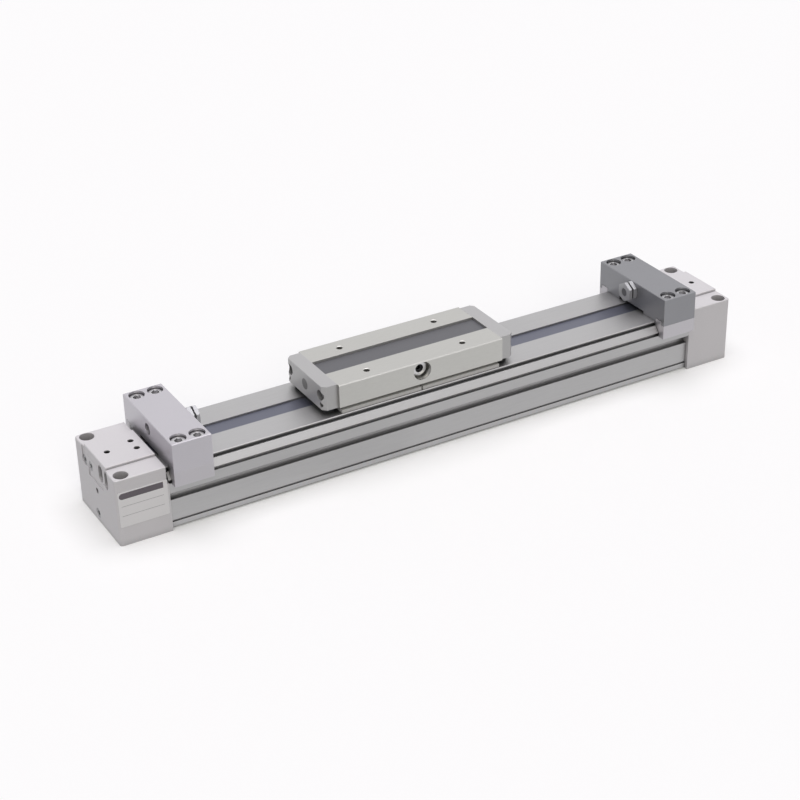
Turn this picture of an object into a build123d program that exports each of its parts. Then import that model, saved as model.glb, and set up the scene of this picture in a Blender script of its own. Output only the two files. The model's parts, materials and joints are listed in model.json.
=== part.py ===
from build123d import *
import os

os.makedirs("parts", exist_ok=True)

# Rodless air cylinder with a slide table and two stroke adjusters. Millimetres.
# X runs along the travel, Y across it and Z is up. The labelled end is the left one, at -X.
# The origin is the centre of the base.

# Driving sizes: end covers
cover_length = 36.5
cover_width = 68.0
cover_height = 48.7
cover_corner = 2.2
cover_edge = 0.5
cover_step = 1.5
cover_step_height = 36.0
mount_hole_inset = 6.75
mount_hole_spread = 57.0
mount_hole_size = 5.6
mount_counterbore = 10.0
mount_counterbore_depth = 6.0

# Driving sizes: cylinder tube
tube_length = 415.0
tube_width = 63.0
tube_top = 45.5
base_bevel = 1.5
notch_height = 4.7
notch_width = 1.5
notch_depth = 1.2
side_slot_height = 21.4
side_slot_width = 5.6
side_slot_depth = 4.5
flange_round = 2.0
switch_groove_height = 35.4
switch_groove_width = 2.5
switch_groove_depth = 2.0
clamp_groove_height = 42.4
clamp_groove_width = 2.3
clamp_groove_depth = 2.3
rail_width = 59.0
rail_edge = 0.4
rail_ledge = 0.8
channel_width = 14.4
channel_depth = 1.7
slot_width = 5.2
bore_size = 25.0
bore_height = 20.5

# Driving sizes: bands and their clamps
dust_band_width = 13.8
dust_band_thickness = 0.4
dust_band_entry = 28.0
seal_belt_width = 7.2
seal_belt_thickness = 0.4
seal_belt_entry = 20.0
magnet_strip_width = 2.4
magnet_strip_height = 1.2
magnet_strip_spread = 10.4
clamp_width = 36.0
clamp_top_height = 50.7
clamp_screw_size = 3.0
clamp_screw_hole = 4.0
clamp_screw_sink = 2.2
clamp_screw_grip = 3.0
clamp_screw_outer = 9.4
clamp_screw_inner = 27.9
clamp_screw_spread = 10.4

# Driving sizes: end face and cover screws
recess_depth = 0.6
recess_width = 42.8
recess_floor = 36.0
recess_neck_width = 24.0
recess_neck_floor = 30.5
pocket_floor = 35.0
pocket_top = 47.4
pocket_depth = 7.0
inner_pocket_y = 8.5
inner_pocket_width = 7.0
outer_pocket_y = 18.5
outer_pocket_width = 7.0
cover_screw_size = 4.0
cover_screw_head = 6.6
cover_screw_head_height = 4.0
cover_screw_height = 38.6
cover_screw_grip = 9.0
back_counterbore_depth = 4.8

# Driving sizes: air side of the covers
spigot_length = 6.0
gasket_width = 2.4
gasket_depth = 1.4
cushion_boss_size = 10.0
cushion_boss_length = 12.0
cushion_tail_size = 8.0
cushion_tail_length = 5.0
air_hole = 5.0
port_size = 8.6
port_depth = 12.0
port_x = 18.0
plug_size = 7.0
plug_length = 4.0
face_plug_y = 2.0
face_plug_height = 6.5
needle_height = 24.5
needle_size = 4.0
needle_length = 9.0
needle_tip_length = 2.0
needle_sink = 0.6
needle_duct = 2.0
needle_ring = 0.8
bypass_lift = 1.4

# Driving sizes: label plate
label_thickness = 0.25
label_margin = 1.2
label_low = 14.0
label_high = 39.5

# Driving sizes: stroke adjusters
holder_gap_left = 1.85
holder_gap_right = 0.4
holder_length = 27.7
holder_width = 79.2
holder_rise = 7.6
holder_edge = 0.5
holder_relief_width = 30.0
holder_relief = 2.0
foot_height = 34.9
foot_tongue_inner = 29.8
foot_tongue_outer = 36.7
foot_tongue_rise = 2.6
holder_screw_size = 6.0
holder_screw_head = 10.0
holder_screw_head_height = 6.0
holder_screw_socket = 5.0
holder_counterbore = 11.0
holder_counterbore_depth = 7.8
holder_screw_spread = 66.5
holder_screw_pitch = 13.2
holder_screw_grip = 4.9
stop_bolt_size = 8.0
stop_bolt_reach = 22.0
stop_head_flats = 13.0
stop_head_length = 2.6
stop_head_gap = 1.2
lock_nut_thickness = 3.2
bumper_size = 6.0
bumper_depth = 2.0

# Driving sizes: slide table
table_offset = -16.25
table_length = 128.2
table_width = 58.5
table_gap = 4.6
table_height = 17.4
table_edge = 0.6
table_channel_width = 23.8
table_channel_depth = 10.1
window_width = 19.66
window_depth = 3.6
window_cover_sink = 1.8
table_hole_pitch_x = 75.3
table_hole_pitch_y = 38.3
table_hole_size = 4.2
table_hole_depth = 11.0
table_hole_bevel = 0.8
table_hole_bevel_depth = 0.4
side_recess = 13.4
side_recess_depth = 7.0
side_recess_rise = 1.6
side_nut_flats = 10.0
side_nut_thickness = 2.4
side_screw_size = 6.0
side_screw_length = 8.0
side_screw_sink = 1.6
side_screw_socket = 3.0
end_plate_length = 10.8
end_plate_width = 53.4
end_plate_drop = 0.2
end_plate_corner = 2.8
end_plate_edge = 0.4
plate_screw_spread = 43.0
plate_screw_height = 60.0
plate_screw_size = 4.0
plate_screw_head = 7.0
plate_screw_head_height = 4.0
plate_screw_counterbore = 7.6
plate_screw_counterbore_depth = 7.0
plate_screw_grip = 8.0
scraper_screw_spread = 46.0
scraper_screw_height = 53.3
scraper_screw_size = 2.0
scraper_screw_head = 3.4
scraper_screw_head_height = 2.0
scraper_screw_sink = 5.0
scraper_screw_grip = 6.0
stop_button_size = 8.0
stop_button_depth = 3.0
scraper_inset = 0.8
scraper_set_back = 2.9
scraper_side_inset = 4.0
scraper_corner = 1.5
pad_inner = 24.6
pad_outer = 45.2
pad_flange_inset = 1.0
pad_flange_height = 2.4
pad_start = 0.6
pad_inset = 2.1

# Driving sizes: drive between the pistons and the table
band_lift = 5.1
band_top_length = 80.0
band_ramp = 22.0
belt_dip = 6.8
belt_low_length = 88.0
belt_ramp = 20.0
belt_groove_width = 8.0
web_width = 4.4
web_length = 76.0
bridge_floor = 2.2
bridge_block_width = 23.0
tunnel_width = 15.2
yoke_length = 132.0
yoke_screw_size = 4.0
yoke_screw_head = 7.0
yoke_screw_head_height = 2.2
yoke_screw_grip = 8.0
yoke_screw_pitch_x = 60.0
yoke_screw_pitch_y = 11.0
band_guide_length = 20.0
band_guide_width = 13.0
magnet_size = 8.0
magnet_length = 6.0
magnet_roof = 4.4
piston_length = 34.0
piston_seal_start = 24.0
piston_seal_width = 3.0
piston_seal_depth = 2.3
wear_ring_start = 4.0
wear_ring_width = 8.0
wear_ring_depth = 1.3
cushion_recess_depth = 14.0
cushion_seal_width = 2.4
cushion_seal_depth = 1.6
piston_screw_size = 5.0
piston_screw_head = 8.5
piston_screw_head_height = 5.0
piston_screw_grip = 9.0

# Clearances
fit = 0.05
run = 0.1
clear = 0.3

# Worked out from the driving sizes
inner_x = -tube_length / 2
outer_x = inner_x - cover_length
cover_half = cover_width / 2
side_half = tube_width / 2
rail_half = rail_width / 2
ledge_half = rail_half + rail_ledge
groove_half = rail_half - clamp_groove_depth
lip_z = clamp_groove_height + clamp_groove_width
switch_groove_top = switch_groove_height + switch_groove_width
side_slot_top = side_slot_height + side_slot_width
channel_z = tube_top - channel_depth
band_z = channel_z + dust_band_thickness
bore_r = bore_size / 2
belt_half = seal_belt_width / 2
belt_top_z = bore_height + (bore_r ** 2 - belt_half ** 2) ** 0.5 - fit
belt_z = belt_top_z - seal_belt_thickness
spigot_x = inner_x + spigot_length
needle_end_x = outer_x + needle_sink + needle_length
adjuster_shift = holder_gap_left - holder_gap_right
holder_x0 = inner_x + holder_gap_left
holder_x1 = holder_x0 + holder_length
holder_mid = (holder_x0 + holder_x1) / 2
holder_half = holder_width / 2
tongue_top = tube_top + foot_tongue_rise
nut_x1 = holder_x1 + lock_nut_thickness
stop_head_x = nut_x1 + stop_head_gap
stop_x = stop_head_x + stop_head_length
table_half = table_length / 2
pad_end = table_half - pad_inset
plate_x = table_half + end_plate_length
table_z0 = tube_top + table_gap
table_z1 = table_z0 + table_height
table_channel_z = table_z0 + table_channel_depth
window_z = table_z1 - window_depth
plate_z0 = table_z0 - end_plate_drop
stop_height = (plate_z0 + table_z1) / 2
holder_top_height = stop_height + holder_rise
side_z = (table_z0 + table_z1) / 2 + side_recess_rise
side_floor_y = table_width / 2 - side_recess_depth
nut_outer_y = side_floor_y + side_nut_thickness
side_screw_y = nut_outer_y - side_screw_sink
band_top_half = band_top_length / 2
band_foot = band_top_half + band_ramp
lifted_z = channel_z + band_lift
belt_low_half = belt_low_length / 2
low_belt_z = belt_z - belt_dip
body_r = bore_r - clear
flat_z = belt_z - run
tunnel_low_z = low_belt_z - clear
tunnel_high_z = low_belt_z + seal_belt_thickness + clear
web_half = web_length / 2
bridge_z1 = lifted_z - run
bridge_z0 = bridge_z1 - bridge_floor
block_z0 = lifted_z + dust_band_thickness + clear
piston_x0 = yoke_length / 2
piston_x1 = piston_x0 + piston_length
piston_floor = piston_x1 - cushion_recess_depth
recess_size = cushion_boss_size + 2 * clear
magnet_z1 = tunnel_low_z - magnet_roof


def block(x0, x1, y0, y1, z0, z1):
    """Box between two corners."""
    middle = ((x0 + x1) / 2, (y0 + y1) / 2, (z0 + z1) / 2)
    return Pos(*middle) * Box(x1 - x0, y1 - y0, z1 - z0)


def rod_x(x0, x1, y, z, size):
    """Round bar along X, given its diameter."""
    return Pos((x0 + x1) / 2, y, z) * Rot(0, 90, 0) * Cylinder(size / 2, x1 - x0)


def rod_y(x, y0, y1, z, size):
    """Round bar along Y."""
    return Pos(x, (y0 + y1) / 2, z) * Rot(90, 0, 0) * Cylinder(size / 2, y1 - y0)


def rod_z(x, y, z0, z1, size):
    """Round bar along Z."""
    return Pos(x, y, (z0 + z1) / 2) * Cylinder(size / 2, z1 - z0)


def hexagon(flats):
    """Hexagon outline, given its width across flats."""
    return RegularPolygon(flats / 2, 6, major_radius=False)


def hex_x(x0, x1, y, z, flats):
    """Hexagonal bar along X, with a flat on top."""
    return Pos(x0, y, z) * Rot(0, 90, 0) * Rot(0, 0, 30) * extrude(hexagon(flats), x1 - x0)


def hex_y(x, y0, y1, z, flats):
    """Hexagonal bar along Y."""
    return Pos(x, y1, z) * Rot(90, 0, 0) * extrude(hexagon(flats), y1 - y0)


def hex_z(x, y, z0, z1, flats):
    """Hexagonal bar along Z."""
    return Pos(x, y, z0) * extrude(hexagon(flats), z1 - z0)


def ring_x(x0, x1, z, outer, inner):
    """Round ring about an X axis in the middle plane."""
    return rod_x(x0, x1, 0, z, outer) - rod_x(x0, x1, 0, z, inner)


def along_x(points, x0, x1):
    """Solid with a straight-sided outline in Y and Z, run along X."""
    face = make_face(Polyline(*[(x0, y, z) for y, z in points], close=True))
    return extrude(face, x1 - x0, dir=(1, 0, 0))


def across(points, half_width):
    """Solid with an outline in X and Z, the same on both sides of the middle plane."""
    face = make_face(Polyline(*[(x, -half_width, z) for x, z in points], close=True))
    return extrude(face, 2 * half_width, dir=(0, 1, 0))


def strip(points, thickness, half_width):
    """Flat band whose lower face follows points in X and Z."""
    upper = [(x, z + thickness) for x, z in reversed(points)]
    return across(points + upper, half_width)


def flip_x(shape):
    """Mirror image at the other end."""
    return mirror(shape, about=Plane.YZ)


def flip_y(shape):
    """Mirror image on the other side of the middle plane."""
    return mirror(shape, about=Plane.XZ)


def on_table(shape):
    """Shape drawn about the table's middle, put where the table stands."""
    return Pos(table_offset, 0, 0) * shape


def group(shapes):
    """Separate solids kept as one set."""
    return Compound(children=[solid for shape in shapes for solid in shape.solids()])


def cap_screw_x(seat, head_end, shank_end, y, z, size, head_size):
    """Socket head cap screw along X, with its socket in the end of its head."""
    middle = (seat + head_end) / 2
    head = rod_x(min(seat, head_end), max(seat, head_end), y, z, head_size)
    head -= hex_x(min(middle, head_end), max(middle, head_end), y, z, size * 0.75)
    return head + rod_x(min(seat, shank_end), max(seat, shank_end), y, z, size)


# Cylinder tube
def tube_half():
    """The tube's section at Y > 0, run along the tube."""
    slot_r = side_slot_width / 2
    slot_y = side_half - side_slot_depth + slot_r
    flange_low = cover_half - flange_round
    chord = flange_round * 0.5 ** 0.5

    def point(y, z):
        return (inner_x, y, z)

    slot_low = point(slot_y, side_slot_height)
    slot_back = point(slot_y - slot_r, side_slot_height + slot_r)
    slot_high = point(slot_y, side_slot_top)
    round_low = point(flange_low, side_slot_top)
    round_middle = point(flange_low + chord, side_slot_top + flange_round - chord)
    round_high = point(cover_half, side_slot_top + flange_round)
    lower = Polyline(
        point(0, channel_z),
        point(0, 0),
        point(side_half - base_bevel, 0),
        point(side_half, base_bevel),
        point(side_half, notch_height),
        point(side_half - notch_depth, notch_height),
        point(side_half - notch_depth, notch_height + notch_width),
        point(side_half, notch_height + notch_width),
        point(side_half, side_slot_height),
        slot_low,
    )
    upper = Polyline(
        round_high,
        point(cover_half, switch_groove_height),
        point(cover_half - switch_groove_depth, switch_groove_height),
        point(cover_half - switch_groove_depth, switch_groove_top),
        point(cover_half, switch_groove_top),
        point(ledge_half, clamp_groove_height),
        point(groove_half, clamp_groove_height),
        point(groove_half, lip_z),
        point(rail_half, lip_z),
        point(rail_half, tube_top - rail_edge),
        point(rail_half - rail_edge, tube_top),
        point(channel_width / 2, tube_top),
        point(channel_width / 2, channel_z),
        point(0, channel_z),
    )
    back = ThreePointArc(slot_low, slot_back, slot_high)
    underside = Line(slot_high, round_low)
    corner = ThreePointArc(round_low, round_middle, round_high)
    outline = Wire([*lower.edges(), *back.edges(), *underside.edges(), *corner.edges(), *upper.edges()])
    return extrude(make_face(outline), tube_length, dir=(1, 0, 0))


def magnet_strip(side, gap):
    """Magnetic strip under one edge of the dust band."""
    y = side * magnet_strip_spread / 2
    half = magnet_strip_width / 2 + gap
    return block(inner_x, -inner_x, y - half, y + half, channel_z - magnet_strip_height, channel_z)


def cover_screw_places():
    """Y of each cover screw and the depth of its seat."""
    places = []
    for y in (inner_pocket_y, outer_pocket_y):
        places.append((-y, pocket_depth))
        places.append((y, back_counterbore_depth))
    return places


def cylinder_tube():
    half = tube_half()
    tube = half + flip_y(half)
    tube -= rod_x(inner_x, -inner_x, 0, bore_height, bore_size)
    tube -= block(inner_x, -inner_x, -slot_width / 2, slot_width / 2, bore_height, channel_z)
    for side in (-1, 1):
        tube -= magnet_strip(side, fit)
    for y, _ in cover_screw_places():
        hole = rod_x(inner_x, inner_x + cover_screw_grip, y, cover_screw_height, cover_screw_size + 2 * fit)
        tube -= hole
        tube -= flip_x(hole)
    return tube


# Bands, drawn lifted over the yoke's bridge and dipped under its web
def dust_band():
    end = inner_x - dust_band_entry
    points = [
        (end, channel_z),
        (table_offset - band_foot, channel_z),
        (table_offset - band_top_half, lifted_z),
        (table_offset + band_top_half, lifted_z),
        (table_offset + band_foot, channel_z),
        (-end, channel_z),
    ]
    band = strip(points, dust_band_thickness, dust_band_width / 2)
    for x, y in clamp_screw_places():
        for place_x in (x, -x):
            band -= rod_z(place_x, y, channel_z, band_z, clamp_screw_hole)
    return band


def seal_belt():
    end = inner_x - seal_belt_entry
    foot = belt_low_half + belt_ramp
    points = [
        (end, belt_z),
        (table_offset - foot, belt_z),
        (table_offset - belt_low_half, low_belt_z),
        (table_offset + belt_low_half, low_belt_z),
        (table_offset + foot, belt_z),
        (-end, belt_z),
    ]
    return strip(points, seal_belt_thickness, belt_half)


# End cover and what is fitted to it, drawn at the left end
def pocket(y, width):
    """Upright pocket in the end face, with round ends."""
    low = pocket_floor + width / 2
    high = pocket_top - width / 2
    end = outer_x + pocket_depth
    hole = block(outer_x, end, y - width / 2, y + width / 2, low, high)
    return hole + rod_x(outer_x, end, y, low, width) + rod_x(outer_x, end, y, high, width)


def face_cuts():
    """Pockets in front of the cover screws, tall ones at -Y and round ones at +Y."""
    cuts = [pocket(-inner_pocket_y, inner_pocket_width), pocket(-outer_pocket_y, outer_pocket_width)]
    for y, depth in cover_screw_places():
        cuts.append(rod_x(outer_x, outer_x + depth, y, cover_screw_height, inner_pocket_width))
    return cuts


def end_cover():
    cover = block(outer_x, inner_x, -cover_half, cover_half, 0, cover_height)
    corners = cover.edges().filter_by(Axis.Z).sort_by(Axis.X)[:2]
    cover = fillet(corners, cover_corner)
    cover = chamfer(cover.faces().sort_by(Axis.Z)[-1].edges(), cover_edge)
    cover -= block(inner_x - cover_step, inner_x, -cover_half, cover_half, cover_step_height, cover_height)
    cover += rod_x(inner_x, spigot_x, 0, bore_height, bore_size - 2 * fit)
    seat_half = clamp_width / 2 + fit
    cover -= block(outer_x, inner_x, -seat_half, seat_half, band_z, cover_height)
    band_half = dust_band_width / 2 + fit
    cover -= block(inner_x - dust_band_entry, inner_x, -band_half, band_half, channel_z, cover_height)
    slot_half = belt_half + fit
    cover -= block(inner_x - seal_belt_entry, spigot_x, -slot_half, slot_half, belt_z, belt_top_z)
    cover -= block(inner_x, spigot_x, -slot_half, slot_half, belt_z, bore_height + bore_r)
    front = outer_x + recess_depth
    cover -= block(outer_x, front, -recess_width / 2, recess_width / 2, recess_floor, cover_height)
    cover -= block(outer_x, front, -recess_neck_width / 2, recess_neck_width / 2, recess_neck_floor, recess_floor)
    for cut in face_cuts():
        cover -= cut
    for y, depth in cover_screw_places():
        cover -= rod_x(outer_x + depth, inner_x, y, cover_screw_height, cover_screw_size + 2 * fit)
    for x, y in clamp_screw_places():
        cover -= rod_z(x, y, band_z - clamp_screw_grip, band_z, clamp_screw_size + 2 * fit)
    for side in (-1, 1):
        x = outer_x + mount_hole_inset
        y = side * mount_hole_spread / 2
        cover -= rod_z(x, y, 0, cover_height, mount_hole_size)
        cover -= rod_z(x, y, cover_height - mount_counterbore_depth, cover_height, mount_counterbore)
    groove_x = inner_x + (spigot_length - gasket_width) / 2
    cover -= ring_x(groove_x, groove_x + gasket_width, bore_height, bore_size, bore_size - 2 * gasket_depth)
    return cover - air_ways()


def air_ways():
    """Port, its drilled ways, the needle's bore and the bypass round the cushion."""
    x = outer_x + port_x
    ways = rod_x(x, spigot_x, 0, bore_height, air_hole)
    ways += rod_x(spigot_x - cushion_tail_length, spigot_x, 0, bore_height, cushion_tail_size + 2 * fit)
    ways += rod_y(x, cover_half - port_depth, cover_half, bore_height, port_size)
    ways += rod_y(x, 0, cover_half, bore_height, air_hole)
    ways += rod_z(x, 0, 0, needle_height, air_hole)
    ways += rod_z(x, 0, 0, plug_length + clear, plug_size)
    ways += rod_x(outer_x, outer_x + plug_length + clear, face_plug_y, face_plug_height, plug_size)
    ways += rod_x(outer_x, x, face_plug_y, face_plug_height, needle_duct)
    ways += rod_x(outer_x, needle_end_x - needle_tip_length + fit, 0, needle_height, needle_size + 2 * fit)
    ways += rod_x(outer_x, x, 0, needle_height, needle_duct)
    bypass_x = needle_end_x - 2 * needle_tip_length
    return ways + rod_x(bypass_x, spigot_x, 0, needle_height + bypass_lift, needle_duct)


def clamp_screw_places():
    """X and Y of the three screws of a band clamp."""
    half = clamp_screw_spread / 2
    outer = outer_x + clamp_screw_outer
    inner = outer_x + clamp_screw_inner
    return [(outer, 0), (inner, -half), (inner, half)]


def band_clamp():
    half = clamp_width / 2
    clamp = block(outer_x + recess_depth, inner_x - cover_step, -half, half, band_z, clamp_top_height)
    clamp = chamfer(clamp.faces().sort_by(Axis.Z)[-1].edges(), cover_edge)
    for cut in face_cuts():
        clamp -= cut
    for x, y in clamp_screw_places():
        clamp -= rod_z(x, y, band_z, clamp_top_height, clamp_screw_size + 2 * fit)
        clamp -= rod_z(x, y, clamp_top_height - clamp_screw_sink, clamp_top_height, clamp_screw_hole)
    return clamp


def clamp_screws():
    screws = []
    top = clamp_top_height - clamp_screw_sink
    for x, y in clamp_screw_places():
        screw = rod_z(x, y, band_z - clamp_screw_grip, top, clamp_screw_size)
        screws.append(screw - hex_z(x, y, top - clamp_screw_size / 2, top, clamp_screw_size / 2))
    return screws


def cover_screws():
    screws = []
    size = cover_screw_size
    for y, depth in cover_screw_places():
        seat = outer_x + depth
        shank_end = inner_x + cover_screw_grip - pocket_depth + depth
        head_end = seat - cover_screw_head_height
        screws.append(cap_screw_x(seat, head_end, shank_end, y, cover_screw_height, size, cover_screw_head))
    return screws


def tube_gasket():
    x0 = inner_x + (spigot_length - gasket_width) / 2 + fit
    x1 = x0 + gasket_width - 2 * fit
    outer = bore_size - 2 * fit
    gasket = ring_x(x0, x1, bore_height, outer, outer - 2 * gasket_depth + 4 * fit)
    half = belt_half + fit
    return gasket - block(x0, x1, -half, half, belt_z - fit, bore_height + bore_r)


def cushion_boss():
    end = spigot_x + cushion_boss_length
    boss = rod_x(spigot_x, end, 0, bore_height, cushion_boss_size)
    boss = chamfer(boss.faces().sort_by(Axis.X)[-1].edges(), 2 * cover_edge)
    tail_x = spigot_x - cushion_tail_length
    boss += rod_x(tail_x, spigot_x, 0, bore_height, cushion_tail_size)
    return boss - rod_x(tail_x, end, 0, bore_height, air_hole)


def port_plugs():
    """Plugs in the port of the base and in the one of the end face."""
    size = plug_size - 2 * fit
    x = outer_x + port_x
    base = rod_z(x, 0, clear, plug_length + clear, size)
    base -= hex_z(x, 0, clear, clear + plug_length / 2, plug_size / 2)
    x0 = outer_x + clear
    face = rod_x(x0, x0 + plug_length, face_plug_y, face_plug_height, size)
    return [base, face - hex_x(x0, x0 + plug_length / 2, face_plug_y, face_plug_height, plug_size / 2)]


def needle_ring_x():
    """Start of the needle's ring groove."""
    return outer_x + needle_sink + needle_size


def cushion_needle():
    start = outer_x + needle_sink
    shoulder = needle_end_x - needle_tip_length
    needle = rod_x(start, shoulder, 0, needle_height, needle_size)
    needle += rod_x(shoulder, needle_end_x, 0, needle_height, needle_duct - 2 * run)
    needle -= hex_x(start, start + needle_size / 2, 0, needle_height, needle_size / 2)
    x = needle_ring_x()
    return needle - ring_x(x, x + needle_ring, needle_height, needle_size, needle_size - 2 * needle_ring)


def needle_seal():
    x = needle_ring_x()
    inner = needle_size - 2 * needle_ring + 2 * fit
    return ring_x(x + fit, x + needle_ring - fit, needle_height, needle_size, inner)


def name_label():
    x0 = outer_x + label_margin
    x1 = inner_x - label_margin
    return block(x0, x1, -cover_half - label_thickness, -cover_half, label_low, label_high)


# Stroke adjuster, drawn at the left end
def holder_screw_places():
    """X and Y of the four screws of a holder."""
    half_x = holder_screw_pitch / 2
    half_y = holder_screw_spread / 2
    return [(holder_mid + i * half_x, j * half_y) for i in (-1, 1) for j in (-1, 1)]


def adjuster_holder():
    skirt = tube_top - clear
    tongue_gap_top = tongue_top + clear
    inner = foot_tongue_inner - clear
    outer = foot_tongue_outer + clear
    relief = holder_relief_width / 2
    half = [
        (holder_half, holder_top_height),
        (holder_half, skirt),
        (outer, skirt),
        (outer, tongue_gap_top),
        (inner, tongue_gap_top),
        (inner, tube_top),
        (relief, tube_top),
        (relief, tube_top + holder_relief),
    ]
    other = [(-y, z) for y, z in reversed(half)]
    holder = along_x(half + other, holder_x0, holder_x1)
    holder = chamfer(holder.faces().sort_by(Axis.Z)[-1].edges(), holder_edge)
    holder -= rod_x(holder_x0, holder_x1, 0, stop_height, stop_bolt_size + 2 * fit)
    seat_z = holder_top_height - holder_counterbore_depth
    for x, y in holder_screw_places():
        holder -= rod_z(x, y, tube_top, seat_z, holder_screw_size + 2 * run)
        holder -= rod_z(x, y, seat_z, holder_top_height, holder_counterbore)
    return holder


def clamp_feet():
    """Two clamp feet that hook into the grooves beside the rails."""
    lip_low = clamp_groove_height + clear
    skirt = tube_top - clear
    points = [
        (groove_half + clear, lip_low),
        (groove_half + clear, lip_z),
        (foot_tongue_inner, lip_z),
        (foot_tongue_inner, tongue_top),
        (foot_tongue_outer, tongue_top),
        (foot_tongue_outer, skirt),
        (holder_half, skirt),
        (holder_half, foot_height),
        (cover_half + clear, foot_height),
        (cover_half + clear, switch_groove_top + clear),
        (ledge_half + clear, lip_low),
    ]
    foot = along_x(points, holder_x0, holder_x1)
    for x, y in holder_screw_places():
        if y > 0:
            foot -= rod_z(x, y, tongue_top - holder_screw_grip, tongue_top, holder_screw_size + 2 * fit)
    return [foot, flip_y(foot)]


def holder_screws():
    screws = []
    seat_z = holder_top_height - holder_counterbore_depth
    top = seat_z + holder_screw_head_height
    for x, y in holder_screw_places():
        head = rod_z(x, y, seat_z, top, holder_screw_head)
        head -= hex_z(x, y, (seat_z + top) / 2, top, holder_screw_socket)
        screws.append(head + rod_z(x, y, tongue_top - holder_screw_grip, seat_z, holder_screw_size))
    return screws


def lock_nut():
    nut = hex_x(holder_x1, nut_x1, 0, stop_height, stop_head_flats)
    return nut - rod_x(holder_x1, nut_x1, 0, stop_height, stop_bolt_size + 2 * fit)


def stop_bolt():
    head = hex_x(stop_head_x, stop_x, 0, stop_height, stop_head_flats)
    back = holder_x1 - stop_bolt_reach
    bolt = head + rod_x(back, stop_head_x, 0, stop_height, stop_bolt_size)
    bolt -= hex_x(back, back + stop_bolt_size / 2, 0, stop_height, stop_bolt_size / 2)
    return bolt - rod_x(stop_x - bumper_depth, stop_x, 0, stop_height, bumper_size)


def stop_bumper():
    return rod_x(stop_x - bumper_depth, stop_x, 0, stop_height, bumper_size - 2 * fit)


# Slide table and what rides with it, drawn about X = 0
def table_screw_holes():
    """Holes in the table's +X end for the end plate's screws."""
    holes = []
    for side in (-1, 1):
        y = side * plate_screw_spread / 2
        start = table_half - plate_screw_grip
        holes.append(rod_x(start, table_half, y, plate_screw_height, plate_screw_size + 2 * fit))
        y = side * scraper_screw_spread / 2
        start = table_half - scraper_screw_grip
        holes.append(rod_x(start, table_half, y, scraper_screw_height, scraper_screw_size + 2 * fit))
    return holes


def slide_table():
    half_y = table_width / 2
    window = window_width / 2
    channel = table_channel_width / 2
    table = block(-table_half, table_half, -half_y, half_y, table_z0, table_z1)
    table = chamfer(table.edges().filter_by(Axis.X), table_edge)
    table -= block(-table_half, table_half, -window, window, window_z, table_z1)
    table -= block(-table_half, table_half, -channel, channel, table_z0, table_channel_z)
    bevel_size = table_hole_size + 2 * table_hole_bevel
    for side_x in (-1, 1):
        for side_y in (-1, 1):
            x = side_x * table_hole_pitch_x / 2
            y = side_y * table_hole_pitch_y / 2
            table -= rod_z(x, y, table_z1 - table_hole_depth, table_z1, table_hole_size)
            bevel = Cone(table_hole_size / 2, bevel_size / 2, table_hole_bevel_depth)
            table -= Pos(x, y, table_z1 - table_hole_bevel_depth / 2) * bevel
    for x, y in yoke_screw_places():
        table -= rod_z(x, y, table_channel_z, window_z, yoke_screw_size + 2 * run)
        table -= rod_z(x, y, window_z - yoke_screw_head_height, window_z, yoke_screw_head + 2 * run)
    for hole in table_screw_holes():
        table -= hole
        table -= flip_x(hole)
    recess = rod_y(0, side_floor_y, half_y, side_z, side_recess)
    recess += rod_y(0, side_screw_y - side_screw_length, side_floor_y, side_z, side_screw_size + 2 * fit)
    return table - recess - flip_y(recess)


def side_nut():
    nut = hex_y(0, side_floor_y, nut_outer_y, side_z, side_nut_flats)
    return nut - rod_y(0, side_floor_y, nut_outer_y, side_z, side_screw_size + 2 * fit)


def side_screw():
    screw = rod_y(0, side_screw_y - side_screw_length, side_screw_y, side_z, side_screw_size)
    return screw - hex_y(0, side_screw_y - side_screw_socket, side_screw_y, side_z, side_screw_socket)


def end_plate():
    """End plate at the table's +X end."""
    half = end_plate_width / 2
    plate = block(table_half, plate_x, -half, half, plate_z0, table_z1)
    corners = plate.edges().filter_by(Axis.Z).sort_by(Axis.X)[-2:]
    plate = chamfer(corners, end_plate_corner)
    top_edges = plate.faces().sort_by(Axis.Z)[-1].edges().filter_by(Axis.Y).sort_by(Axis.X)[-1:]
    plate = chamfer(top_edges, end_plate_edge)
    for side in (-1, 1):
        y = side * plate_screw_spread / 2
        seat = plate_x - plate_screw_counterbore_depth
        plate -= rod_x(table_half, seat, y, plate_screw_height, plate_screw_size + 2 * run)
        plate -= rod_x(seat, plate_x, y, plate_screw_height, plate_screw_counterbore)
        y = side * scraper_screw_spread / 2
        seat = plate_x - scraper_screw_sink
        plate -= rod_x(table_half, seat, y, scraper_screw_height, scraper_screw_size + 2 * run)
        plate -= rod_x(seat, plate_x, y, scraper_screw_height, scraper_screw_head + 2 * run)
    return plate - rod_x(plate_x - stop_button_depth, plate_x, 0, stop_height, stop_button_size)


def end_plate_screws():
    screws = []
    for side in (-1, 1):
        seat = plate_x - plate_screw_counterbore_depth
        low = table_half - plate_screw_grip
        y = side * plate_screw_spread / 2
        head_end = seat + plate_screw_head_height
        z = plate_screw_height
        screws.append(cap_screw_x(seat, head_end, low, y, z, plate_screw_size, plate_screw_head))
        seat = plate_x - scraper_screw_sink
        low = table_half - scraper_screw_grip
        y = side * scraper_screw_spread / 2
        head_end = seat + scraper_screw_head_height
        z = scraper_screw_height
        screws.append(cap_screw_x(seat, head_end, low, y, z, scraper_screw_size, scraper_screw_head))
    return screws


def stop_button():
    return rod_x(plate_x - stop_button_depth, plate_x, 0, stop_height, stop_button_size - 2 * fit)


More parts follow.
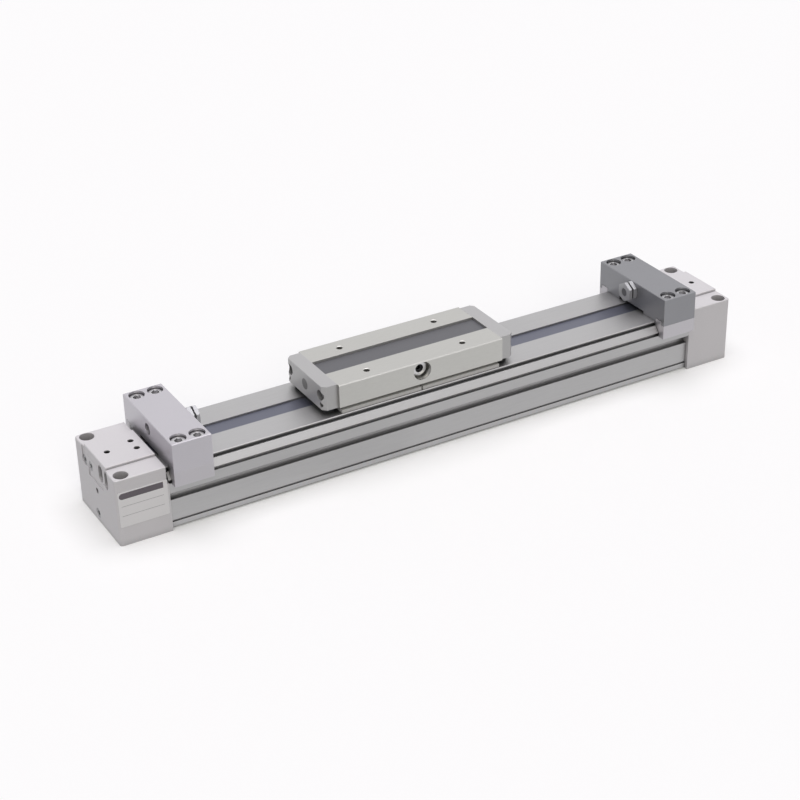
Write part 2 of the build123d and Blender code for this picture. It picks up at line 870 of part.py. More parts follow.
def scraper():
    x0 = table_half + scraper_inset
    x1 = plate_x - scraper_set_back
    half = end_plate_width / 2 - scraper_side_inset
    body = block(x0, x1, -half, half, tube_top + fit, plate_z0)
    corners = body.edges().filter_by(Axis.Z).sort_by(Axis.X)[-2:]
    body = chamfer(corners, scraper_corner)
    lip = channel_width / 2 - clear
    return body + block(x0, x1, -lip, lip, band_z + run, tube_top + fit)


def bearing_pad():
    """Quarter of the slide bearing, at +X and +Y, with a flange out to the rail's edge."""
    low_z = tube_top + fit
    flange_y = table_width / 2 - pad_flange_inset
    pad = block(pad_start, pad_end, pad_inner / 2, pad_outer / 2, low_z, table_z0)
    return pad + block(pad_start, pad_end, pad_inner / 2, flange_y, low_z, low_z + pad_flange_height)


# Drive, drawn about X = 0
def yoke_screw_places():
    """X and Y of the four screws between the table and the yoke."""
    half_x = yoke_screw_pitch_x / 2
    half_y = yoke_screw_pitch_y / 2
    return [(i * half_x, j * half_y) for i in (-1, 1) for j in (-1, 1)]


def bore_bar(x0, x1):
    """Round bar for the bore, flat on top under the seal belt."""
    bar = rod_x(x0, x1, 0, bore_height, 2 * body_r)
    return bar - block(x0, x1, -body_r, body_r, flat_z, bore_height + body_r)


def piston_yoke():
    groove = belt_groove_width / 2
    tunnel_half = belt_low_half - clear
    yoke = bore_bar(-piston_x0, piston_x0)
    for x0, x1 in ((-piston_x0, -web_half), (web_half, piston_x0)):
        yoke -= block(x0, x1, -groove, groove, tunnel_low_z, flat_z)
    yoke -= block(-tunnel_half, tunnel_half, -groove, groove, tunnel_low_z, tunnel_high_z)
    web_y = web_width / 2
    yoke += block(-web_half, web_half, -web_y, web_y, tunnel_high_z, bridge_z0)
    wide = bridge_block_width / 2
    trough = tunnel_width / 2
    yoke += block(-web_half, web_half, -wide, wide, bridge_z0, table_channel_z)
    yoke -= block(-web_half, web_half, -trough, trough, bridge_z1, block_z0)
    for x, y in yoke_screw_places():
        yoke -= rod_z(x, y, table_channel_z - yoke_screw_grip, table_channel_z, yoke_screw_size + 2 * fit)
    yoke -= rod_z(0, 0, bore_height - bore_r, magnet_z1, magnet_size + 2 * fit)
    for x0, x1 in ((-piston_x0, -piston_x0 + piston_screw_grip), (piston_x0 - piston_screw_grip, piston_x0)):
        yoke -= rod_x(x0, x1, 0, bore_height, piston_screw_size + 2 * fit)
    return yoke


def piston_magnet():
    return rod_z(0, 0, magnet_z1 - magnet_length, magnet_z1, magnet_size)


def yoke_screws():
    screws = []
    seat_z = window_z - yoke_screw_head_height
    for x, y in yoke_screw_places():
        head = rod_z(x, y, seat_z, window_z, yoke_screw_head)
        head -= hex_z(x, y, (seat_z + window_z) / 2, window_z, yoke_screw_size / 2)
        screws.append(head + rod_z(x, y, table_channel_z - yoke_screw_grip, seat_z, yoke_screw_size))
    return screws


def window_cover():
    half = window_width / 2 - run
    return block(-table_half, table_half, -half, half, window_z, table_z1 - window_cover_sink)


def band_guide():
    """Wedge that carries the dust band up to the bridge, at +X."""
    end = web_half + band_guide_length
    low = band_z + run
    slope = band_lift / band_ramp

    def under(x):
        return lifted_z - run - slope * (x - band_top_half)

    points = [
        (web_half, low),
        (end, low),
        (end, under(end)),
        (band_top_half, under(band_top_half)),
        (web_half, under(band_top_half)),
    ]
    return across(points, band_guide_width / 2)


def piston():
    """Piston at the +X end of the yoke."""
    size = 2 * body_r
    body = bore_bar(piston_x0, piston_x1)
    seal_x = piston_x0 + piston_seal_start
    wear_x = piston_x0 + wear_ring_start
    body -= ring_x(seal_x, seal_x + piston_seal_width, bore_height, size, size - 2 * piston_seal_depth)
    body -= ring_x(wear_x, wear_x + wear_ring_width, bore_height, size, size - 2 * wear_ring_depth)
    body -= rod_x(piston_floor, piston_x1, 0, bore_height, recess_size)
    lip = recess_size + 2 * cushion_seal_depth
    body -= rod_x(piston_x1 - cushion_seal_width, piston_x1, 0, bore_height, lip)
    return body - rod_x(piston_x0, piston_floor, 0, bore_height, piston_screw_size + 2 * fit)


def bore_ring(start, width, depth):
    """Ring in a groove of the piston, flat on top under the seal belt."""
    x0 = piston_x0 + start + fit
    x1 = x0 + width - 2 * fit
    ring = ring_x(x0, x1, bore_height, bore_size - 2 * fit, 2 * (body_r - depth + fit))
    return ring - block(x0, x1, -bore_r, bore_r, belt_z - fit, bore_height + bore_r)


def cushion_seal():
    outer = recess_size + 2 * cushion_seal_depth - 2 * fit
    inner = cushion_boss_size + 2 * run
    return ring_x(piston_x1 - cushion_seal_width, piston_x1, bore_height, outer, inner)


def piston_screw():
    head_end = piston_floor + piston_screw_head_height
    low = piston_x0 - piston_screw_grip
    return cap_screw_x(piston_floor, head_end, low, 0, bore_height, piston_screw_size, piston_screw_head)


# Sets of like pieces
def both_ends(shapes):
    """The given shapes and their mirror images at the other end."""
    return shapes + [flip_x(shape) for shape in shapes]


def both_sides(shape):
    return [shape, flip_y(shape)]


fixed_sets = {
    "band_magnet_strips": both_sides(magnet_strip(1, 0)),
    "band_clamp_screws": both_ends(clamp_screws()),
    "end_cover_screws": both_ends(cover_screws()),
    "port_plugs": both_ends(port_plugs()),
}
table_sets = {
    "slide_table": [slide_table()],
    "window_cover": [window_cover()],
    "end_plate_screws": both_ends(end_plate_screws()),
    "stop_buttons": both_ends([stop_button()]),
    "bearing_pads": both_ends(both_sides(bearing_pad())),
    "side_adjusting_nuts": both_sides(side_nut()),
    "side_adjusting_screws": both_sides(side_screw()),
    "piston_yoke": [piston_yoke()],
    "yoke_screws": yoke_screws(),
    "piston_magnet": [piston_magnet()],
    "piston_screws": both_ends([piston_screw()]),
}
nodes = {
    "cylinder_tube": cylinder_tube(),
    "outer_dust_band": dust_band(),
    "inner_seal_belt": seal_belt(),
    "name_label": name_label(),
}
for name, shapes in fixed_sets.items():
    nodes[name] = group(shapes)
for name, shapes in table_sets.items():
    nodes[name] = group([on_table(shape) for shape in shapes])

cover_pieces = {
    "end_cover": end_cover(),
    "band_clamp": band_clamp(),
    "tube_gasket": tube_gasket(),
    "cushion_boss": cushion_boss(),
    "cushion_needle": cushion_needle(),
    "needle_seal": needle_seal(),
}
for name, shape in cover_pieces.items():
    nodes[name + "_left"] = shape
    nodes[name + "_right"] = flip_x(shape)

adjuster_pieces = {
    "adjuster_holder": adjuster_holder(),
    "clamp_feet": group(clamp_feet()),
    "holder_screws": group(holder_screws()),
    "lock_nut": lock_nut(),
    "stop_bolt": stop_bolt(),
    "stop_bumper": stop_bumper(),
}
for name, shape in adjuster_pieces.items():
    nodes[name + "_left"] = shape
    nodes[name + "_right"] = Pos(adjuster_shift, 0, 0) * flip_x(shape)

table_pieces = {
    "end_plate": end_plate(),
    "scraper": scraper(),
    "band_guide": band_guide(),
    "piston": piston(),
    "piston_seal": bore_ring(piston_seal_start, piston_seal_width, piston_seal_depth),
    "wear_ring": bore_ring(wear_ring_start, wear_ring_width, wear_ring_depth),
    "cushion_seal": cushion_seal(),
}
for name, shape in table_pieces.items():
    nodes[name + "_left"] = on_table(flip_x(shape))
    nodes[name + "_right"] = on_table(shape)

for name, shape in nodes.items():
    export_step(shape, "parts/" + name + ".step")
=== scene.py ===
import json
import math
import bmesh
import bpy
from mathutils import Matrix, Vector
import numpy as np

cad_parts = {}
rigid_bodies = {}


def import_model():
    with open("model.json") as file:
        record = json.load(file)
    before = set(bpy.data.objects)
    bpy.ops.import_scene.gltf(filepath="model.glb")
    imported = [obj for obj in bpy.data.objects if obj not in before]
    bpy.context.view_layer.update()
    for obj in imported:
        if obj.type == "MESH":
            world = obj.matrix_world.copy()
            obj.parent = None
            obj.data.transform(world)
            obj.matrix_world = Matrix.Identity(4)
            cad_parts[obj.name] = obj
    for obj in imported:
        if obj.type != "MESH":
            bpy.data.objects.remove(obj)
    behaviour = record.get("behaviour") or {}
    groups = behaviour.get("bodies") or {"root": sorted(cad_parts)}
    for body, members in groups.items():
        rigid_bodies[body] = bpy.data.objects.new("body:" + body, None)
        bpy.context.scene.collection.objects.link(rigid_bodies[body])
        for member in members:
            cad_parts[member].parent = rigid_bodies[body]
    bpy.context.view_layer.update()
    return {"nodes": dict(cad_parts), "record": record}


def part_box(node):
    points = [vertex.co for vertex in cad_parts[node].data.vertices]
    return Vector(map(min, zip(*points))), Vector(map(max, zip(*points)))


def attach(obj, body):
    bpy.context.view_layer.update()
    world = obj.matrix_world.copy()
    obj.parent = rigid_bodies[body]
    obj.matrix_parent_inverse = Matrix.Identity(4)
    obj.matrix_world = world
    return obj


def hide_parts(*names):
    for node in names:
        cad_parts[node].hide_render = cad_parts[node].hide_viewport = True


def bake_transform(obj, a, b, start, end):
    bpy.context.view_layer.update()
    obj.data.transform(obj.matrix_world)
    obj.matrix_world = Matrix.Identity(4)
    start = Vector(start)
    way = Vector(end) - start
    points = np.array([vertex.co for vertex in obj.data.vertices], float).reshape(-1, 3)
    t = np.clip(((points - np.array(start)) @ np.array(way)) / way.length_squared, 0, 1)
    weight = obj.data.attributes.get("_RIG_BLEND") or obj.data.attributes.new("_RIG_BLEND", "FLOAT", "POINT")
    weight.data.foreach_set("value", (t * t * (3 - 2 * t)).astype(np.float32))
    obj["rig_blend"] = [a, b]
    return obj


# Rodless air cylinder with a slide table: the looks, the light and the camera. Metres.
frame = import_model()
nodes = frame["nodes"]
body_of = {node: body for body, held in frame["record"]["behaviour"]["bodies"].items() for node in held}
slot_of = {part["node"]: part["material_slot"] for part in frame["record"]["subparts"]}

# How wide edges are broken, and the angles from which an edge counts as sharp or is smoothed over.
edge_width = 0.00018
fine_edge = 0.0001
tube_edge = 0.00012
bumper_edge = 0.0003
sharp_from = math.radians(50)
smooth_up_to = math.radians(32)
turn_to = {"X": (0, math.pi / 2, 0), "Y": (-math.pi / 2, 0, 0), "Z": (0, 0, 0)}


# Modelling by hand
def only(piece=None):
    """Object mode, with nothing selected but the piece."""
    if bpy.context.mode != "OBJECT":
        bpy.ops.object.mode_set(mode="OBJECT")
    bpy.ops.object.select_all(action="DESELECT")
    if piece:
        piece.select_set(True)
        bpy.context.view_layer.objects.active = piece
    return piece


def fresh(name):
    """Names a new primitive and puts its place in its mesh."""
    piece = bpy.context.object
    piece.name = name
    piece.data.name = name
    bpy.ops.object.transform_apply(location=True, rotation=True, scale=True)
    return piece


def box_piece(name, low, high):
    only()
    low, high = Vector(low), Vector(high)
    bpy.ops.mesh.primitive_cube_add(size=1, location=(low + high) / 2, scale=high - low)
    return fresh(name)


def round_piece(name, centre, radius, length, axis="Z", sides=48):
    only()
    place = dict(location=centre, rotation=turn_to[axis])
    bpy.ops.mesh.primitive_cylinder_add(vertices=sides, radius=radius, depth=length, **place)
    return fresh(name)


def cone_piece(name, centre, low_radius, high_radius, length, sides=24):
    only()
    radii = dict(radius1=low_radius, radius2=high_radius)
    bpy.ops.mesh.primitive_cone_add(vertices=sides, depth=length, location=centre, **radii)
    return fresh(name)


def pick(piece, kind, test):
    """Edit mode, with only the faces or edges that pass the test selected."""
    only(piece)
    bpy.ops.object.mode_set(mode="EDIT")
    bpy.ops.mesh.select_mode(type=kind)
    bpy.ops.mesh.select_all(action="DESELECT")
    mesh = bmesh.from_edit_mesh(piece.data)
    for part in mesh.faces if kind == "FACE" else mesh.edges:
        if test(part):
            part.select_set(True)
    bmesh.update_edit_mesh(piece.data)


def middle(part):
    """Middle of a face or edge."""
    return sum((corner.co for corner in part.verts), Vector()) / len(part.verts)


def run(edge):
    """Direction of an edge."""
    return (edge.verts[1].co - edge.verts[0].co).normalized()


def cut(piece, tool, how="DIFFERENCE"):
    """Takes the tool's shape out of the piece, or keeps only what both share, and removes the tool."""
    only(piece)
    change = piece.modifiers.new("cut", "BOOLEAN")
    change.operation = how
    change.solver = "EXACT"
    change.object = tool
    bpy.ops.object.modifier_apply(modifier="cut")
    bpy.data.objects.remove(tool)
    return piece


def soften(piece, width=edge_width, steps=2):
    """Breaks the sharp edges and smooths what is round."""
    only(piece)
    change = piece.modifiers.new("edge", "BEVEL")
    change.width = width
    change.segments = steps
    change.limit_method = "ANGLE"
    change.angle_limit = sharp_from
    bpy.ops.object.modifier_apply(modifier="edge")
    bpy.ops.object.shade_smooth_by_angle(angle=smooth_up_to)
    change = piece.modifiers.new("flatness", "WEIGHTED_NORMAL")
    change.keep_sharp = True
    bpy.ops.object.modifier_apply(modifier="flatness")
    return piece


def copy_to(piece, name, matrix):
    """Copy with its own mesh, moved to its place."""
    twin = bpy.data.objects.new(name, piece.data.copy())
    twin.data.name = name
    twin.data.transform(matrix)
    bpy.context.scene.collection.objects.link(twin)
    return twin


def joined(name, pieces):
    """One piece made of several."""
    only(pieces[0])
    for piece in pieces:
        piece.select_set(True)
    bpy.ops.object.join()
    pieces[0].name = name
    pieces[0].data.name = name
    return pieces[0]


def facing(axis, sign):
    """Turn that points a piece drawn along +Z the given way along X or Y."""
    if axis == "X":
        return Matrix.Rotation(sign * math.pi / 2, 4, "Y")
    return Matrix.Rotation(-sign * math.pi / 2, 4, "X")


def put(piece, node, material):
    """Paints a piece, lets it ride with its node's body unless it bends, and lets it stand for the node."""
    piece.data.materials.clear()
    piece.data.materials.append(material)
    if piece.parent is None and "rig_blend" not in piece:
        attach(piece, body_of[node])
    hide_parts(node)
    return piece


# Shared shader effects
def new_group(name, inputs, outputs):
    group = bpy.data.node_groups.new(name, "ShaderNodeTree")
    for label, kind, value in inputs:
        socket = group.interface.new_socket(name=label, in_out="INPUT", socket_type=kind)
        socket.default_value = value
    for label, kind in outputs:
        group.interface.new_socket(name=label, in_out="OUTPUT", socket_type=kind)
    return group, group.nodes.new("NodeGroupInput").outputs, group.nodes.new("NodeGroupOutput").inputs


def node_in(tree, kind, **settings):
    node = tree.nodes.new(kind)
    for name, value in settings.items():
        setattr(node, name, value)
    return node


def maths(tree, operation, *values):
    """Math node, with numbers or links as its values."""
    node = node_in(tree, "ShaderNodeMath", operation=operation)
    for socket, value in zip(node.inputs, values):
        if isinstance(value, (int, float)):
            socket.default_value = value
        else:
            tree.links.new(value, socket)
    return node.outputs[0]


def blend_colours(tree, factor, first, second):
    node = node_in(tree, "ShaderNodeMix", data_type="RGBA")
    for socket, value in ((node.inputs[0], factor), (node.inputs[6], first), (node.inputs[7], second)):
        if isinstance(value, (float, tuple)):
            socket.default_value = value
        else:
            tree.links.new(value, socket)
    return node.outputs[2]


# Relief of the grain, settings of the noise, how soon edges look rubbed, and from where painted shade darkens
# hollows
grain_depth = 0.00004
fine_detail = 3
broad_scale = 24
broad_detail = 2
rub_contrast = 6.0
rub_scale = 260
# Painted shade in hollows: how strongly the occlusion darkens, and the near-black colour that it paints
open_share = 1.35
painted_hollow_shade = (0.01, 0.01, 0.011, 1.0)


def make_fine_grain():
    """Fine grain, stretched to lines where the metal is drawn or brushed, over a broad unevenness."""
    group, given, result = new_group(
        "fine_grain",
        [
            ("Colour", "NodeSocketColor", (0.6, 0.6, 0.6, 1)),
            ("Shade", "NodeSocketColor", (0.5, 0.5, 0.5, 1)),
            ("Stretch", "NodeSocketVector", (1, 1, 1)),
            ("Scale", "NodeSocketFloat", 900),
            ("Grain", "NodeSocketFloat", 0.6),
            ("Mottle", "NodeSocketFloat", 0.5),
            ("Smoothest", "NodeSocketFloat", 0.35),
            ("Roughest", "NodeSocketFloat", 0.5),
        ],
        [("Colour", "NodeSocketColor"), ("Roughness", "NodeSocketFloat"), ("Height", "NodeSocketFloat")],
    )
    place = node_in(group, "ShaderNodeTexCoord").outputs["Object"]
    stretch = node_in(group, "ShaderNodeMapping")
    group.links.new(place, stretch.inputs["Vector"])
    group.links.new(given["Stretch"], stretch.inputs["Scale"])
    fine = node_in(group, "ShaderNodeTexNoise")
    fine.inputs["Detail"].default_value = fine_detail
    group.links.new(stretch.outputs[0], fine.inputs["Vector"])
    group.links.new(given["Scale"], fine.inputs["Scale"])
    broad = node_in(group, "ShaderNodeTexNoise")
    broad.inputs["Scale"].default_value = broad_scale
    broad.inputs["Detail"].default_value = broad_detail
    group.links.new(place, broad.inputs["Vector"])
    fine_part = maths(group, "MULTIPLY", maths(group, "SUBTRACT", fine.outputs[0], 0.5), given["Grain"])
    broad_part = maths(group, "MULTIPLY", maths(group, "SUBTRACT", broad.outputs[0], 0.5), given["Mottle"])
    factor = maths(group, "ADD", maths(group, "ADD", fine_part, broad_part), 0.5)
    factor = maths(group, "MINIMUM", maths(group, "MAXIMUM", factor, 0.0), 1.0)
    group.links.new(blend_colours(group, factor, given["Colour"], given["Shade"]), result["Colour"])
    spread = maths(group, "SUBTRACT", given["Roughest"], given["Smoothest"])
    rough = maths(group, "MULTIPLY_ADD", fine.outputs[0], spread, given["Smoothest"])
    group.links.new(rough, result["Roughness"])
    group.links.new(fine.outputs[0], result["Height"])
    return group


def make_edge_rub():
    """Lighter, rubbed edges."""
    group, given, result = new_group(
        "edge_rub",
        [
            ("Colour", "NodeSocketColor", (0.6, 0.6, 0.6, 1)),
            ("Rubbed", "NodeSocketColor", (0.8, 0.8, 0.8, 1)),
            ("Amount", "NodeSocketFloat", 0.5),
            ("Reach", "NodeSocketFloat", 0.0004),
        ],
        [("Colour", "NodeSocketColor")],
    )
    rounded = node_in(group, "ShaderNodeBevel", samples=4)
    group.links.new(given["Reach"], rounded.inputs["Radius"])
    flat = node_in(group, "ShaderNodeNewGeometry")
    match = node_in(group, "ShaderNodeVectorMath", operation="DOT_PRODUCT")
    group.links.new(rounded.outputs[0], match.inputs[0])
    group.links.new(flat.outputs["Normal"], match.inputs[1])
    bend = maths(group, "MULTIPLY", maths(group, "SUBTRACT", 1.0, match.outputs["Value"]), rub_contrast)
    patchy = node_in(group, "ShaderNodeTexNoise")
    patchy.inputs["Scale"].default_value = rub_scale
    group.links.new(node_in(group, "ShaderNodeTexCoord").outputs["Object"], patchy.inputs["Vector"])
    rubbed = maths(group, "MULTIPLY", maths(group, "MINIMUM", bend, 1.0), patchy.outputs[0])
    factor = maths(group, "MULTIPLY", rubbed, given["Amount"])
    group.links.new(blend_colours(group, factor, given["Colour"], given["Rubbed"]), result["Colour"])
    return group


def make_painted_cavity_shade():
    """Painted shade: darkens the colour towards near black in holes, grooves and gaps, from ambient
    occlusion.
    """
    group, given, result = new_group(
        "painted_cavity_shade",
        [
            ("Colour", "NodeSocketColor", (0.6, 0.6, 0.6, 1)),
            ("Amount", "NodeSocketFloat", 0.7),
            ("Reach", "NodeSocketFloat", 0.010),
        ],
        [("Colour", "NodeSocketColor")],
    )
    hidden = node_in(group, "ShaderNodeAmbientOcclusion", samples=8)
    group.links.new(given["Reach"], hidden.inputs["Distance"])
    closed = maths(group, "MULTIPLY_ADD", hidden.outputs["AO"], -open_share, 1.0)
    factor = maths(group, "MULTIPLY", maths(group, "MAXIMUM", closed, 0.0), given["Amount"])
    group.links.new(blend_colours(group, factor, given["Colour"], painted_hollow_shade), result["Colour"])
    return group


fine_grain = make_fine_grain()
edge_rub = make_edge_rub()
painted_cavity_shade = make_painted_cavity_shade()


def colour(red, green, blue):
    """Linear colour from one given in eight-bit steps."""
    shares = [value / 255 for value in (red, green, blue)]
    return tuple(share / 12.92 if share <= 0.04045 else ((share + 0.055) / 1.055) ** 2.4
                 for share in shares) + (1,)


def finish(name, base, shade, metallic, rough, stretch=(1, 1, 1), scale=900, relief=0.1,
           rub=0.0, rubbed=(0.8, 0.8, 0.8, 1), coat=0.0, painted_shade=0.0, reach=0.01):
    """A material with grain, unevenness, relief and, if asked for, rubbed edges and painted shade in its
    hollows.
    """
    material = bpy.data.materials.new(name)
    material.use_nodes = True
    tree = material.node_tree
    surface = tree.nodes["Principled BSDF"]
    surface.inputs["Metallic"].default_value = metallic
    surface.inputs["Coat Weight"].default_value = coat
    texture = node_in(tree, "ShaderNodeGroup", node_tree=fine_grain)
    settings = {"Colour": base, "Shade": shade, "Stretch": stretch, "Scale": scale,
                "Smoothest": rough[0], "Roughest": rough[1]}
    for label, value in settings.items():
        texture.inputs[label].default_value = value
    shown = texture.outputs["Colour"]
    if rub:
        edges = node_in(tree, "ShaderNodeGroup", node_tree=edge_rub)
        edges.inputs["Rubbed"].default_value = rubbed
        edges.inputs["Amount"].default_value = rub
        tree.links.new(shown, edges.inputs["Colour"])
        shown = edges.outputs["Colour"]
    # Painted shade: the colour is darkened in hollows and gaps, where shade falls
    if painted_shade:
        shade_in_hollows = node_in(tree, "ShaderNodeGroup", node_tree=painted_cavity_shade)
        shade_in_hollows.inputs["Amount"].default_value = painted_shade
        shade_in_hollows.inputs["Reach"].default_value = reach
        tree.links.new(shown, shade_in_hollows.inputs["Colour"])
        shown = shade_in_hollows.outputs["Colour"]
    tree.links.new(shown, surface.inputs["Base Color"])
    tree.links.new(texture.outputs["Roughness"], surface.inputs["Roughness"])
    bump = node_in(tree, "ShaderNodeBump")
    bump.inputs["Strength"].default_value = relief
    bump.inputs["Distance"].default_value = grain_depth
    tree.links.new(texture.outputs["Height"], bump.inputs["Height"])
    tree.links.new(bump.outputs[0], surface.inputs["Normal"])
    return material


# Finishes
drawn = (0.04, 1, 1)
cover_looks = dict(scale=2200, relief=0.2, rub=0.6, rubbed=colour(236, 234, 237))
block_looks = dict(scale=2000, relief=0.2, rub=0.6, rubbed=colour(222, 220, 225))
# The cavity amounts below paint shade into each finish's holes, grooves and gaps, and reach is how far that
# painted shade spreads
tube_metal = finish("drawn_anodised_tube", colour(179, 178, 179), colour(169, 168, 169), 0.92, (0.34, 0.52),
                    stretch=drawn, scale=1500, relief=0.25, rub=0.6, rubbed=colour(212, 211, 211),
                    painted_shade=0.9, reach=0.007)
cover_metal = finish("milled_anodised_cover", colour(217, 214, 217), colour(206, 203, 206), 0.15, (0.4, 0.58),
                     painted_shade=0.72, **cover_looks)
clamp_metal = finish("milled_anodised_clamp", colour(217, 214, 217), colour(206, 203, 206), 0.15, (0.4, 0.58),
                     painted_shade=1.7, reach=0.005, **cover_looks)
block_metal = finish("milled_anodised_block", colour(192, 189, 195), colour(183, 180, 186), 0.88,
                     (0.36, 0.52), painted_shade=0.35, reach=0.006, **block_looks)
foot_metal = finish("milled_anodised_foot", colour(192, 189, 194), colour(183, 180, 185), 0.8, (0.36, 0.52),
                    painted_shade=1.0, reach=0.014, **block_looks)
# A darker copy of the block's metal, darker all over, for the right holder
dark_block_metal = finish("darker_block_metal_copy", colour(145, 145, 149), colour(136, 136, 140), 0.92,
                          (0.36, 0.52), scale=2000, relief=0.2, rub=0.7, rubbed=colour(188, 187, 190),
                          painted_shade=0.3, reach=0.006)
table_metal = finish("milled_anodised_table", colour(191, 190, 187), colour(181, 180, 177), 0.9, (0.3, 0.46),
                     stretch=(0.15, 1, 1), scale=1800, relief=0.2, rub=0.7, rubbed=colour(218, 217, 216),
                     painted_shade=0.3, reach=0.005)
plate_metal = finish("milled_anodised_plate", colour(182, 181, 182), colour(172, 171, 172), 0.45, (0.34, 0.5),
                     scale=2000, relief=0.2, rub=0.7, rubbed=colour(218, 217, 218), painted_shade=0.9)
screw_steel = finish("bright_plated_steel", colour(214, 213, 215), colour(190, 189, 191), 0.95, (0.22, 0.38),
                     scale=1600, relief=0.15, rub=0.5, rubbed=colour(232, 231, 233), painted_shade=1.7, reach=0.002)
button_steel = finish("worn_steel", colour(122, 121, 122), colour(100, 99, 100), 0.7, (0.3, 0.46),
                      scale=1600, relief=0.2)
plated_steel = finish("plated_steel", colour(174, 174, 177), colour(152, 152, 155), 0.75, (0.38, 0.54),
                      scale=1600, relief=0.15, rub=0.5, rubbed=colour(204, 204, 206), painted_shade=0.4, reach=0.004)
dark_steel = finish("blackened_steel", colour(44, 44, 47), colour(34, 34, 37), 0.85, (0.28, 0.46),
                    scale=1400, relief=0.2, rub=0.8, rubbed=colour(84, 84, 86), painted_shade=0.8)
band_metal = finish("rolled_steel_band", colour(108, 110, 124), colour(96, 98, 112), 0.6, (0.26, 0.42),
                    stretch=(0.02, 1, 1), scale=2600, relief=0.12)
window_plastic = finish("moulded_cover_strip", colour(96, 96, 101), colour(88, 88, 93), 0.1, (0.34, 0.5),
                        scale=1400, relief=0.15, painted_shade=0.15)
pad_plastic = finish("bearing_plastic", colour(204, 203, 202), colour(192, 191, 190), 0.0, (0.4, 0.6))
bumper_urethane = finish("bumper_urethane", colour(92, 92, 96), colour(80, 80, 84), 0.0, (0.4, 0.6))
guide_plastic = finish("guide_plastic", colour(228, 226, 216), colour(216, 214, 204), 0.0, (0.4, 0.6))
belt_plastic = finish("seal_belt_plastic", colour(222, 218, 200), colour(208, 204, 188), 0.0, (0.4, 0.55),
                      stretch=(0.05, 1, 1), scale=1200)
seal_rubber = finish("seal_rubber", colour(34, 34, 36), colour(26, 26, 28), 0.0, (0.55, 0.8),
                     scale=1800, relief=0.3)
sintered_magnet = finish("sintered_magnet", colour(92, 92, 96), colour(70, 70, 74), 0.7, (0.4, 0.6),
                         scale=1600)

finish_of = {
    "anodised_aluminium": block_metal,
    "dark_anodised_aluminium": dark_block_metal,
    "machined_aluminium": table_metal,
    "steel": plated_steel,
    "dark_steel": dark_steel,
    "band_steel": band_metal,
    "belt_plastic": belt_plastic,
    "cover_plastic": window_plastic,
    "bearing_plastic": pad_plastic,
    "guide_plastic": guide_plastic,
    "rubber": seal_rubber,
    "magnet": sintered_magnet,
    "label": guide_plastic,
}
for node, solid in nodes.items():
    solid.data.materials.clear()
    solid.data.materials.append(finish_of[slot_of[node]])
nodes["stop_buttons"].data.materials[0] = button_steel


def make_label_film():
    """White film with a plain dark header bar, rounded at its left end, and two ruled lines."""
    material = finish("blank_label_film", colour(240, 238, 240), colour(232, 230, 232), 0.0, (0.3, 0.42),
                      scale=700, relief=0.05, coat=0.25)
    tree = material.node_tree
    surface = tree.nodes["Principled BSDF"]
    plain = surface.inputs["Base Color"].links[0].from_socket
    low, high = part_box("name_label")
    place = node_in(tree, "ShaderNodeSeparateXYZ")
    tree.links.new(node_in(tree, "ShaderNodeTexCoord").outputs["Object"], place.inputs[0])
    along, height = place.outputs["X"], place.outputs["Z"]

    def between(value, first, last):
        return maths(tree, "MULTIPLY", maths(tree, "GREATER_THAN", value, first),
                     maths(tree, "LESS_THAN", value, last))

    border = 0.0008
    left_gap, right_gap = 0.0020, 0.0030
    line_drops = (0.0105, 0.0175)
    line_half = 0.00018
    line_strength = 0.55
    bar_half = 0.0022
    bar_start = low.x + border + bar_half
    bar_height = high.z - border - bar_half
    past = maths(tree, "MINIMUM", maths(tree, "SUBTRACT", along, bar_start), 0.0)
    rise = maths(tree, "SUBTRACT", height, bar_height)
    away = maths(tree, "SQRT", maths(tree, "ADD", maths(tree, "MULTIPLY", past, past),
                                     maths(tree, "MULTIPLY", rise, rise)))
    header = maths(tree, "MULTIPLY", maths(tree, "LESS_THAN", away, bar_half),
                   maths(tree, "LESS_THAN", along, high.x - right_gap))
    inside = between(along, low.x + left_gap, high.x - right_gap)
    upper, lower = (maths(tree, "COMPARE", height, high.z - drop, line_half) for drop in line_drops)
    lines = maths(tree, "ADD", upper, lower)
    ruled = maths(tree, "MULTIPLY", maths(tree, "MULTIPLY", lines, inside), line_strength)
    ink = blend_colours(tree, maths(tree, "MAXIMUM", header, ruled), plain, colour(92, 84, 92))
    tree.links.new(ink, surface.inputs["Base Color"])
    return material


label_film = make_label_film()


# Milled and drawn pieces, with their edges broken
def dressed(node, metal, width=edge_width):
    """The CAD piece with its faces joined up and its edges broken."""
    solid = nodes[node]
    piece = bpy.data.objects.new(node + "_edged", solid.data.copy())
    piece.data.name = node + "_edged"
    bpy.context.scene.collection.objects.link(piece)
    only(piece)
    bpy.ops.object.mode_set(mode="EDIT")
    bpy.ops.mesh.select_all(action="SELECT")
    bpy.ops.mesh.remove_doubles(threshold=0.000002)
    bpy.ops.mesh.dissolve_limited(angle_limit=math.radians(0.4))
    bpy.ops.object.mode_set(mode="OBJECT")
    if piece.data.has_custom_normals:
        bpy.ops.mesh.customdata_custom_splitnormals_clear()
    soften(piece, width)
    return put(piece, node, metal)


dressed("cylinder_tube", tube_metal, tube_edge)
for side in ("left", "right"):
    dressed("end_cover_" + side, cover_metal)
    dressed("band_clamp_" + side, clamp_metal)
    dressed("clamp_feet_" + side, foot_metal)
    dressed("end_plate_" + side, plate_metal)
dressed("adjuster_holder_left", block_metal)
dressed("adjuster_holder_right", dark_block_metal)
dressed("slide_table", table_metal)
dressed("window_cover", window_plastic)


